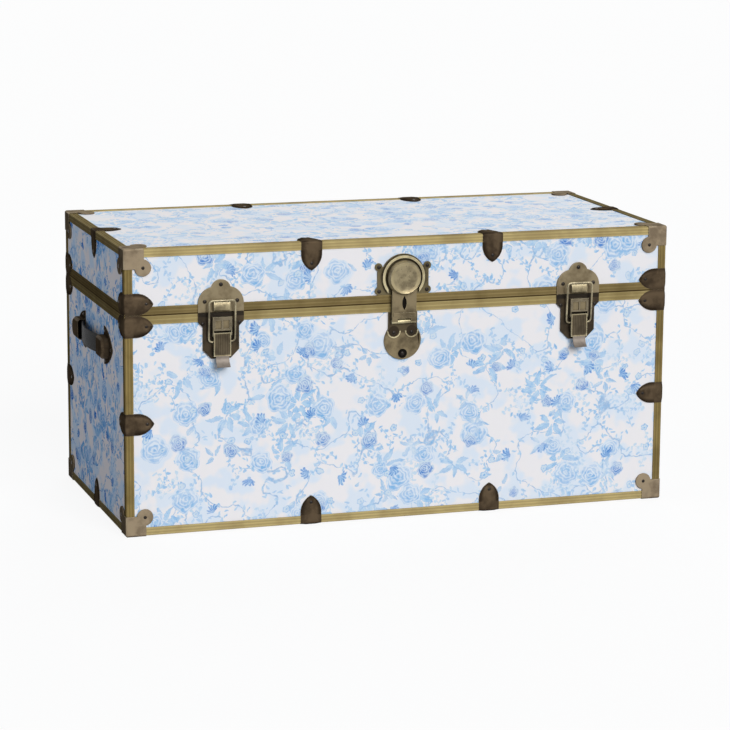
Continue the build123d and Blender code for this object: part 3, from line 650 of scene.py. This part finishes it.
def round_edges(piece, width):
    made = piece.modifiers.new("soft_edges", "BEVEL")
    made.width = width
    made.segments = 2
    made.limit_method = "ANGLE"
    made.angle_limit = SHARP
    made.harden_normals = True


def refined(node, body, material, bevel, parts=(), recess=None, cut=False):
    """A CAD node's own shape with its flat facets joined and its edges softened.

    parts is a list of (material, test on a face): the faces that pass take that material. recess
    is (material, test, border, depth): those faces are let in inside a border and take that
    material. cut makes triangles of the joined faces again, for a part with holes in flat faces."""
    bm = bmesh.new()
    bm.from_mesh(NODES[node].data)
    bmesh.ops.remove_doubles(bm, verts=bm.verts, dist=0.002 * MM)
    bmesh.ops.dissolve_limit(bm, angle_limit=math.radians(1), verts=bm.verts, edges=bm.edges)
    if cut:
        bmesh.ops.triangulate(bm, faces=bm.faces)
    bm.normal_update()
    extra = []
    for other, test in parts:
        extra.append(other)
        for face in bm.faces:
            if test(face.calc_center_median(), face.normal):
                face.material_index = len(extra)
    if recess:
        other, test, border, depth = recess
        extra.append(other)
        chosen = [f for f in bm.faces if test(f.calc_center_median(), f.normal)]
        bmesh.ops.inset_individual(bm, faces=chosen, thickness=border, depth=-depth,
                                   use_even_offset=True)
        for face in chosen:
            face.material_index = len(extra)
    mesh = bpy.data.meshes.new(node + "_look")
    bm.to_mesh(mesh)
    bm.free()
    piece = add_piece(node + "_look", mesh, body, material, [node], bevel)
    for other in extra:
        piece.data.materials.append(other)
    return piece


def paint(node, material):
    """Gives a CAD node that stays as it is its material."""
    data = NODES[node].data
    data.materials.clear()
    data.materials.append(material)


def mesh_of(name, bm):
    mesh = bpy.data.meshes.new(name)
    bm.to_mesh(mesh)
    bm.free()
    return mesh


# ---- Boards

def dress_boards():
    """Print outside and lining inside; the boundary lies half way through the boards."""
    half_board = 4 * MM
    inner_x, inner_y = HALF_W - half_board, HALF_D - half_board
    front = print_material("print_front", "X", "Z", (2.0, 1.0), "Y", -inner_y)
    back = print_material("print_back", "X", "Z", (9.0, 4.0), "Y", inner_y)
    # the ends' print is darkened as a painted shade
    left = print_material("print_left", "Y", "Z", (5.0, 7.0), "X", -inner_x, 1.9, 0.0)
    right = print_material("print_right", "Y", "Z", (12.0, 3.0), "X", inner_x, 1.9, 0.0)
    top = print_material("print_top", "X", "Y", (6.0, 11.0), "Z", BOARD_TOP - half_board)
    under = print_material("print_under", "X", "Y", (1.0, 15.0), "Z", -BOARD_BOTTOM - half_board)
    for wall, material in (("front", front), ("back", back), ("left", left), ("right", right)):
        paint(wall + "_panel", material)
        paint("lid_" + wall + "_panel", material)
    paint("lid_top_panel", top)
    paint("bottom_panel", under)


# ---- Clamps

def bullet_half_width(s):
    """Half width of a clamp's flange at a distance from the folded edge."""
    if s <= CLAMP_STRAIGHT:
        return CLAMP_HALF
    rise, w = CLAMP_REACH - CLAMP_STRAIGHT, CLAMP_HALF
    radius = (w * w + rise * rise) / (2 * w)
    x = min(s - CLAMP_STRAIGHT, rise)
    return max(w - radius + math.sqrt(radius * radius - x * x), 0.0)


def clamp_height(s, t, rim_side):
    """Height over the board at s from the fold and a share t of the half width.

    A raised middle inside a flat rim, all of it clear of the strip that it covers. rim_side says on
    which side of the clamp (-1, 1, or 0 for none) the closure's rim runs under it."""
    covers = s < BAND_FLANGE + 1.0 * MM or (rim_side and rim_side * t > 0.1)
    base = BAND_T + CLAMP_CLEAR if covers else CLAMP_RIM
    edge = min((1 - abs(t)) * 1.7, (CLAMP_REACH - s) / CLAMP_TIP, 1.0)
    rise = edge * edge * (3 - 2 * edge)
    dimple = math.hypot(s - CLAMP_RIVET, t * bullet_half_width(s)) / CLAMP_DIMPLE
    sink = max(0.0, 1 - dimple * dimple)
    return base + (CLAMP_TOP - base) * rise * (1 - 0.75 * sink)


def clamp_mesh(rim_side=0):
    """Clamp folded over an edge on the z axis; x and y run inward along the two faces."""
    reach = [CLAMP_REACH * (1 - i / CLAMP_ROWS) for i in range(CLAMP_ROWS)]
    flange = [s for s in reach if s > CLAMP_FOLD]
    turns = [math.radians(90 * i / CLAMP_TURNS) for i in range(CLAMP_TURNS + 1)]
    across = [-1 + 2 * j / CLAMP_COLUMNS for j in range(CLAMP_COLUMNS + 1)]
    bm = bmesh.new()

    def row(point):
        return [bm.verts.new(point(t)) for t in across]

    def on_flange(s, swap):
        def point(t):
            h, z = clamp_height(s, t, rim_side), t * bullet_half_width(s)
            return (-h, s, z) if swap else (s, -h, z)
        return point

    def on_fold(turn):
        def point(t):
            h = clamp_height(0, t, rim_side)
            r = CLAMP_FOLD
            return (-h + r - r * math.sin(turn), -h + r - r * math.cos(turn), t * CLAMP_HALF)
        return point

    rows = [row(on_flange(s, False)) for s in flange]
    rows += [row(on_fold(turn)) for turn in turns]
    rows += [row(on_flange(s, True)) for s in reversed(flange)]
    for a, b in zip(rows, rows[1:]):
        for j in range(len(across) - 1):
            bm.faces.new((a[j], a[j + 1], b[j + 1], b[j]))
    skirt(bm)
    return mesh_of("clamp", bm)


def skirt(bm):
    """Drops the open border of a folded sheet onto the boards that it covers."""
    border = [e for e in bm.edges if e.is_boundary]
    made = bmesh.ops.extrude_edge_only(bm, edges=border)["geom"]
    for vert in (v for v in made if isinstance(v, bmesh.types.BMVert)):
        vert.co.x, vert.co.y = max(vert.co.x, 0.0), max(vert.co.y, 0.0)


def edge_frame(origin, inward_a, inward_b):
    a, b = Vector(inward_a), Vector(inward_b)
    return columns(a, b, a.cross(b), origin)


def join_rows(bm, rows):
    """Faces between each row of vertices and the next, closed round the rows."""
    for low, high in zip(rows, rows[1:]):
        for k in range(len(low)):
            n = (k + 1) % len(low)
            bm.faces.new((low[k], low[n], high[n], high[k]))


def join_placed(name, mesh, places):
    """One mesh with a copy of another at each place."""
    bm = bmesh.new()
    for place in places:
        copy = mesh.copy()
        copy.transform(place)
        bm.from_mesh(copy)
    return mesh_of(name, bm)


def upright_places(z):
    """Frames on the four vertical edges at a height, mirrored so that z points up in each."""
    places = []
    for sx in SIDES:
        for sy in SIDES:
            frame_at = edge_frame((sx * HALF_W, sy * HALF_D, z), (-sx, 0, 0), (0, -sy, 0))
            flip = Matrix.Scale(-1, 4, (0, 0, 1)) if sx * sy < 0 else Matrix.Identity(4)
            places.append(frame_at @ flip)
    return places


def level_places(z, up):
    """Frames on the horizontal edges at the bottom (up 1) or the top (up -1)."""
    places = [edge_frame((x, sy * HALF_D, z), (0, -sy, 0), (0, 0, up))
              for x in (-CLAMP_X, CLAMP_X) for sy in SIDES]
    return places + [edge_frame((sx * HALF_W, 0, z), (-sx, 0, 0), (0, 0, up)) for sx in SIDES]


def clamp_set(node, body, places, rim_side=0):
    mesh = join_placed(node, clamp_mesh(rim_side), places)
    return add_piece(node + "_look", mesh, body, BRONZE, [node])


def add_clamps():
    body_z = BODY_RIM_TOP - CLAMP_HALF
    lid_z = LID_RIM_BOTTOM + CLAMP_HALF
    clamp_set("bottom_edge_clamps", "box", level_places(BOARD_BOTTOM, 1))
    clamp_set("lid_edge_clamps", "lid", level_places(BOARD_TOP, -1))
    clamp_set("mid_corner_clamps", "box", upright_places(MID_CLAMP_Z))
    clamp_set("body_closure_clamps", "box", upright_places(body_z), 1)
    clamp_set("lid_closure_clamps", "lid", upright_places(lid_z), -1)


# ---- Rivets

# Rivets: (radius, height) by what they hold
CLAMP_HEAD = (2.6 * MM, 1.1 * MM)
CAP_HEAD = (2.4 * MM, 1.2 * MM)
PLATE_HEAD = (2.7 * MM, 1.2 * MM)
SMALL_HEAD = (2.2 * MM, 1.1 * MM)
HEAD_RINGS, HEAD_SIDES = 4, 16

# Rivet places in millimetres: (across from the part's middle, up, height over the wall)
BASE_RIVETS = ((-25, 280.5, 2.5), (25, 280.5, 2.5))
CATCH_RIVETS = ((0, 332, 2.5), (-22, 310, 2.5), (22, 310, 2.5))
LOCK_RIVETS = ((-34, 344.5, 1.8), (34, 344.5, 1.8), (-33.5, 311.8, 1.8), (33.5, 311.8, 1.8))
LOWER_RIVETS = ((-12.5, 255, 2.0), (12.5, 255, 2.0), (0, 226.3, 1.1))
HANDLE_RIVETS = ((66, 20, 1.4), (66, -20, 1.4), (99, 0, 1.4))
CAP_RIVET_IN, CAP_RIVET_OUT = (26 - 2.2) * MM, 1.8 * MM
HINGE_X, HINGE_RIVETS_X, HINGE_OUT = 230, (-16, 0, 16), 2.6
HINGE_BODY_Z, HINGE_LID_Z = 276, 315


def rivet_into(bm, place, radius, height):
    """Low domed rivet head, base in the z = 0 plane of its place."""
    profile = [(radius, 0.0)]
    profile += [(radius * math.cos(a), height * math.sin(a) + 0.1 * height)
                for a in (math.pi / 2 * i / HEAD_RINGS for i in range(HEAD_RINGS))]
    loops = [[bm.verts.new(place @ Vector((r * math.cos(b), r * math.sin(b), h)))
              for b in (2 * math.pi * k / HEAD_SIDES for k in range(HEAD_SIDES))]
             for r, h in profile]
    join_rows(bm, loops)
    top = bm.verts.new(place @ Vector((0, 0, height * 1.1)))
    for k in range(HEAD_SIDES):
        bm.faces.new((loops[-1][k], loops[-1][(k + 1) % HEAD_SIDES], top))


def on_wall(wall, across, up, out):
    return wall_frame(wall) @ Matrix.Translation((across, up, out))


def clamp_rivets(bm, places):
    """A rivet on each flange of each clamp."""
    for place in places:
        for x, y in (((1, 0, 0), (0, -1, 0)), ((0, 1, 0), (-1, 0, 0))):
            along, out = Vector(x), Vector(y)
            spot = along * CLAMP_RIVET + out * 0.9 * MM
            rivet_into(bm, place @ columns(x, out.cross(along), out, spot), *CLAMP_HEAD)


def add_rivets():
    box, lid = bmesh.new(), bmesh.new()
    clamp_rivets(box, level_places(BOARD_BOTTOM, 1) + upright_places(MID_CLAMP_Z)
                 + upright_places(BODY_RIM_TOP - CLAMP_HALF))
    clamp_rivets(lid, level_places(BOARD_TOP, -1) + upright_places(LID_RIM_BOTTOM + CLAMP_HALF))
    for bm, z0, up in ((box, BOARD_BOTTOM, 1), (lid, BOARD_TOP, -1)):
        for wall in WALLS:
            half = HALF_W if wall in ("front", "back") else HALF_D
            for side in SIDES:
                across = side * (half - CAP_RIVET_IN)
                height = z0 + up * CAP_RIVET_IN
                rivet_into(bm, on_wall(wall, across, height, CAP_RIVET_OUT), *CAP_HEAD)
    latches = [s * LATCH_X for s in SIDES]
    for bm, middles, spots in ((box, latches, BASE_RIVETS), (lid, latches, CATCH_RIVETS),
                               (lid, [0.0], LOCK_RIVETS), (box, [0.0], LOWER_RIVETS)):
        for middle in middles:
            for x, y, out in spots:
                place = on_wall("front", middle + x * MM, y * MM, out * MM)
                rivet_into(bm, place, *PLATE_HEAD)
    for wall in ("left", "right"):
        for s in SIDES:
            for x, y, out in HANDLE_RIVETS:
                place = on_wall(wall, s * x * MM, HANDLE_Z + y * MM, out * MM)
                rivet_into(box, place, *SMALL_HEAD)
    for s in SIDES:
        for x in HINGE_RIVETS_X:
            across = s * HINGE_X * MM + x * MM
            for bm, z in ((box, HINGE_BODY_Z), (lid, HINGE_LID_Z)):
                rivet_into(bm, on_wall("back", across, z * MM, HINGE_OUT * MM), *SMALL_HEAD)
    add_piece("box_rivets", mesh_of("box_rivets", box), "box", RIVET)
    add_piece("lid_rivets", mesh_of("lid_rivets", lid), "lid", RIVET)


# ---- Wire, strap and the hardware that keeps its CAD shape

def rounded_path(points, radius):
    """Polyline with its inner corners turned on arcs."""
    steps = 6
    path = [points[0]]
    for before, corner, after in zip(points, points[1:], points[2:]):
        a, b = (before - corner).normalized(), (after - corner).normalized()
        half = a.angle(b) / 2
        cut = radius / math.tan(half)
        centre = corner + (a + b).normalized() * (radius / math.sin(half))
        start, end = corner + a * cut - centre, corner + b * cut - centre
        path += [centre + start.lerp(end, i / steps).normalized() * radius
                 for i in range(steps + 1)]
    return path + [points[-1]]


def tube(points, radius):
    """Round wire along a path, closed at both ends."""
    sides = 14
    bm = bmesh.new()
    rings = []
    normal = Vector((0, 0, 1))
    for i, point in enumerate(points):
        ahead = points[min(i + 1, len(points) - 1)] - points[max(i - 1, 0)]
        ahead.normalize()
        normal = (normal - ahead * normal.dot(ahead)).normalized()
        side = ahead.cross(normal)
        rings.append([bm.verts.new(point + (normal * math.cos(a) + side * math.sin(a)) * radius)
                      for a in (2 * math.pi * k / sides for k in range(sides))])
    join_rows(bm, rings)
    for ring in (rings[0], rings[-1]):
        bm.faces.new(ring)
    return bm


def add_bail(side):
    """Bent wire on the same line as the CAD bail, with round corners."""
    node = side + "_latch_bail"
    low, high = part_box(node)
    r, corner_r, foot_end = 1.3 * MM, 4.6 * MM, 10.2 * MM
    centre = (low.x + high.x) / 2
    half = (high.x - low.x) / 2 - r
    foot = Vector((0, high.y - r, low.z + r))
    bar = Vector((0, low.y + r, high.z - r))
    points = [base + Vector((x, 0, 0)) + Vector((centre, 0, 0))
              for base, x in ((foot, -foot_end), (foot, -half), (bar, -half),
                              (bar, half), (foot, half), (foot, foot_end))]
    wire = mesh_of(node, tube(rounded_path(points, corner_r), r))
    add_piece(node + "_look", wire, side + "_bail", WIRE, [node])


def add_strap(side):
    """Leather strap with rounded edges: flat ends in the caps and a bow between them."""
    node = side + "_handle_strap"
    low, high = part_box(node)
    sign = -1 if side == "left" else 1
    thick, wide = 3.6 * MM, high.z - low.z
    inner_flat = 1.8 * MM
    half = (high.y - low.y) / 2
    mouth, bow = 58.0 * MM, 8.6 * MM
    radius = (mouth * mouth + bow * bow) / (2 * bow)
    corner_steps, length_steps = 5, 48
    r = thick * 0.42
    outline = []
    for cx, cz, a0 in ((thick - r, wide / 2 - r, 0), (r, wide / 2 - r, 90),
                       (r, -wide / 2 + r, 180), (thick - r, -wide / 2 + r, 270)):
        for k in range(corner_steps + 1):
            a = math.radians(a0 + 90 * k / corner_steps)
            outline.append((cx + r * math.cos(a), cz + r * math.sin(a)))
    bm = bmesh.new()
    rings = []
    for i in range(length_steps + 1):
        y = -half + 2 * half * i / length_steps
        lift = 0.0
        if abs(y) < mouth:
            lift = math.sqrt(radius * radius - y * y) - (radius - bow)
        out = HALF_W + inner_flat + lift
        rings.append([bm.verts.new((sign * (out + dx), y, HANDLE_Z + dz)) for dx, dz in outline])
    join_rows(bm, rings)
    bm.faces.new(rings[0])
    bm.faces.new(rings[-1])
    add_piece(node + "_look", mesh_of(node, bm), side + "_strap", LEATHER, [node])


# Heights over the front boards in millimetres that tell the closure's faces apart
SHEET_TOP = 2.7
BRIDGE_TOP = 8.6
LOWER_SHEET = 1.1
LOWER_KNUCKLES = (2.3, 9.0)
LOCK_COLLAR = 5.6
KEYHOLE_FLOOR = 6.8
HASP_RAISED = 9.3
DISC_DISH = (11.5, 13.1)
BEYOND = 20.0

# Places along z of the hasp's and the lever's parts, and how far a lever's face is let in
BARREL_R = 3.2 * MM
TAIL_DOWN = 31.3 * MM
RIBS_DOWN = 25 * MM
RIBS_BORDER, RIBS_DEPTH = 1.5 * MM, 0.35 * MM


def height_over_front(centre):
    return -HALF_D - centre.y


def proud(low, high):
    """Faces whose middle stands between two heights over the front boards."""
    return lambda c, n: low * MM < height_over_front(c) < high * MM


def faces_out(height):
    """Faces that look forward at a height over the front boards."""
    return lambda c, n: n.y < -0.9 and abs(height_over_front(c) - height * MM) < 0.15 * MM


def tilted(low, high):
    """Faces of the disc's dish, which lean a little."""
    return lambda c, n: -0.99 < n.y < -0.8 and proud(low, high)(c, n)


def dress_hardware():
    for wall in WALLS:
        for node in (wall + "_bottom_binding", "lid_" + wall + "_binding"):
            paint(node, BAND)
        paint(wall + "_body_rim", BODY_RIM)
        paint("lid_" + wall + "_rim", LID_RIM)
    for node in ("body_corner_bindings", "lid_corner_bindings"):
        paint(node, UPRIGHT)
    for node in ("hinge_pins", "hasp_pin", "left_latch_pin", "right_latch_pin"):
        paint(node, WIRE)
    refined("bottom_corner_caps", "box", CAP, 0.8 * MM)
    refined("lid_corner_caps", "lid", CAP, 0.8 * MM)
    refined("hinge_body_leaves", "box", PLATE, 0.3 * MM)
    refined("hinge_lid_leaves", "lid", PLATE, 0.3 * MM)
    refined("hasp_lower_plate", "box", LOWER, 0.45 * MM,
            parts=[(POLISH_HIGHLIGHT, proud(*LOWER_KNUCKLES)), (RECESS_SHADE, faces_out(LOWER_SHEET))])
    refined("lid_lock_plate", "lid", OLIVE, 0.45 * MM,
            parts=[(POLISH_HIGHLIGHT, faces_out(LOCK_COLLAR))])
    pin_z = sum(c.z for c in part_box("hasp_pin")) / 2

    def barrel(c, n):
        """Faces of the hasp's two knuckles round its pin."""
        return abs(c.z - pin_z) < BARREL_R and not faces_out(LOWER_SHEET)(c, n)

    refined("hasp", "hasp", PLATE, 0.4 * MM,
            parts=[(BRIGHT, proud(HASP_RAISED, BEYOND)), (DISC, tilted(*DISC_DISH)),
                   (RECESS_SHADE, faces_out(KEYHOLE_FLOOR)), (BACK, lambda c, n: n.y > 0.9),
                   (POLISH_HIGHLIGHT, barrel)])
    for side in ("left", "right"):
        refined(side + "_latch_base", "box", DARK, 0.35 * MM,
                parts=[(BRIDGE, proud(SHEET_TOP, BEYOND)), (PLATE, faces_out(BRIDGE_TOP))])
        lever_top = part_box(side + "_latch_lever")[1].z

        def ribbed(c, n):
            return n.y < -0.95 and c.z > lever_top - RIBS_DOWN

        refined(side + "_latch_lever", side + "_lever", BRIGHT, 0.3 * MM,
                parts=[(TAIL_REFLECTION, lambda c, n: c.z < lever_top - TAIL_DOWN)],
                recess=(RIBBED, ribbed, RIBS_BORDER, RIBS_DEPTH))
        refined(side + "_latch_catch", "lid", CATCH, 0.4 * MM,
                parts=[(BRIGHT, proud(SHEET_TOP, BEYOND))])
        refined(side + "_handle_caps", "box", BRONZE, 0.4 * MM, cut=True)
        add_bail(side)
        add_strap(side)


# ---- Stage: floor, light and camera

WHITE = (1.0, 1.0, 1.0, 1.0)
FLOOR_GREY = (0.42, 0.43, 0.45, 1.0)
FLOOR_HALF = 12.0
SKY = (0.76, 0.88, 1.0, 1.0)
SKY_STRENGTH = 0.16

# Lamps: (name, direction, strength, softness in degrees)
LAMPS = (
    ("key", (0.6, -3.4, 1.9), 2.5, 35),
    ("end_light", (-3.0, 0.3, 0.9), 0.5, 40),
    ("back_light", (1.6, 3.2, 2.7), 0.85, 40),
)

# Camera solved from the photograph's straight edges: yaw, pitch and roll, place, lens and sensor
CAMERA_TURN = (18.019, -11.434, 0.371)
CAMERA_PLACE = (-1203.23, -3716.99, 965.81)
CAMERA_LENS, CAMERA_SENSOR = 140.365, 36.0


def background_rays(g):
    """1 for rays of the camera and for those that mirrors and glass send on."""
    light = g.node("LightPath")
    seen = g.max(light.outputs["Is Camera Ray"], light.outputs["Is Glossy Ray"])
    return g.max(seen, light.outputs["Is Transmission Ray"])


def floor_material():
    """White to the camera and to reflections, with enough real surface left to show shadows."""
    material, g, shader = new_material("floor_white")
    seen = background_rays(g)
    g.feed(shader.inputs["Base Color"], g.mix(seen, FLOOR_GREY, WHITE))
    shader.inputs["Roughness"].default_value = 0.9
    white = g.node("Emission", {"Color": WHITE, "Strength": 1.0})
    blend = g.node("MixShader")
    g.feed(blend.inputs[0], g.mul(seen, 0.9))
    g.feed(blend.inputs[1], shader.outputs[0])
    g.feed(blend.inputs[2], white.outputs[0])
    g.feed(material.node_tree.nodes["Material Output"].inputs["Surface"], blend.outputs[0])
    return material


def add_floor():
    bm = bmesh.new()
    bmesh.ops.create_grid(bm, x_segments=2, y_segments=2, size=FLOOR_HALF)
    floor = bpy.data.objects.new("floor", mesh_of("floor", bm))
    bpy.context.scene.collection.objects.link(floor)
    floor.data.materials.append(floor_material())


def soft_lamp(name, towards, strength, softness):
    """Even light from a direction, as from a large far diffuser."""
    lamp = bpy.data.lights.new(name, "SUN")
    lamp.energy, lamp.angle = strength, math.radians(softness)
    made = bpy.data.objects.new(name, lamp)
    made.location = towards
    made.rotation_mode = "QUATERNION"
    made.rotation_quaternion = Vector(towards).to_track_quat("Z", "Y")
    bpy.context.scene.collection.objects.link(made)


def add_light():
    world = bpy.data.worlds.new("studio")
    world.use_nodes = True
    bpy.context.scene.world = world
    g = Graph(world.node_tree)
    plain = world.node_tree.nodes["Background"]
    plain.inputs["Color"].default_value = SKY
    plain.inputs["Strength"].default_value = SKY_STRENGTH
    white = g.node("Background", {"Color": WHITE, "Strength": 1.0})
    blend = g.node("MixShader")
    g.feed(blend.inputs[0], background_rays(g))
    g.feed(blend.inputs[1], plain.outputs[0])
    g.feed(blend.inputs[2], white.outputs[0])
    g.feed(world.node_tree.nodes["World Output"].inputs["Surface"], blend.outputs[0])
    for lamp in LAMPS:
        soft_lamp(*lamp)


def add_camera():
    """The photograph's own viewpoint, for a square picture."""
    yaw, pitch, roll = (math.radians(a) for a in CAMERA_TURN)
    forward = Vector((math.sin(yaw) * math.cos(pitch), math.cos(yaw) * math.cos(pitch),
                      math.sin(pitch)))
    level = Vector((math.cos(yaw), -math.sin(yaw), 0))
    above = level.cross(forward)
    right = level * math.cos(roll) + above * math.sin(roll)
    up = above * math.cos(roll) - level * math.sin(roll)
    data = bpy.data.cameras.new("camera")
    data.sensor_width, data.lens = CAMERA_SENSOR, CAMERA_LENS
    camera = bpy.data.objects.new("camera", data)
    bpy.context.scene.collection.objects.link(camera)
    camera.matrix_world = columns(right, up, -forward, Vector(CAMERA_PLACE) * MM)
    data.clip_start, data.clip_end = 0.1, 60.0
    bpy.context.scene.camera = camera


add_camera()
add_light()
add_floor()
dress_boards()
dress_hardware()
add_clamps()
add_rivets()
bpy.context.scene.view_settings.view_transform = "Standard"
bpy.context.view_layer.update()
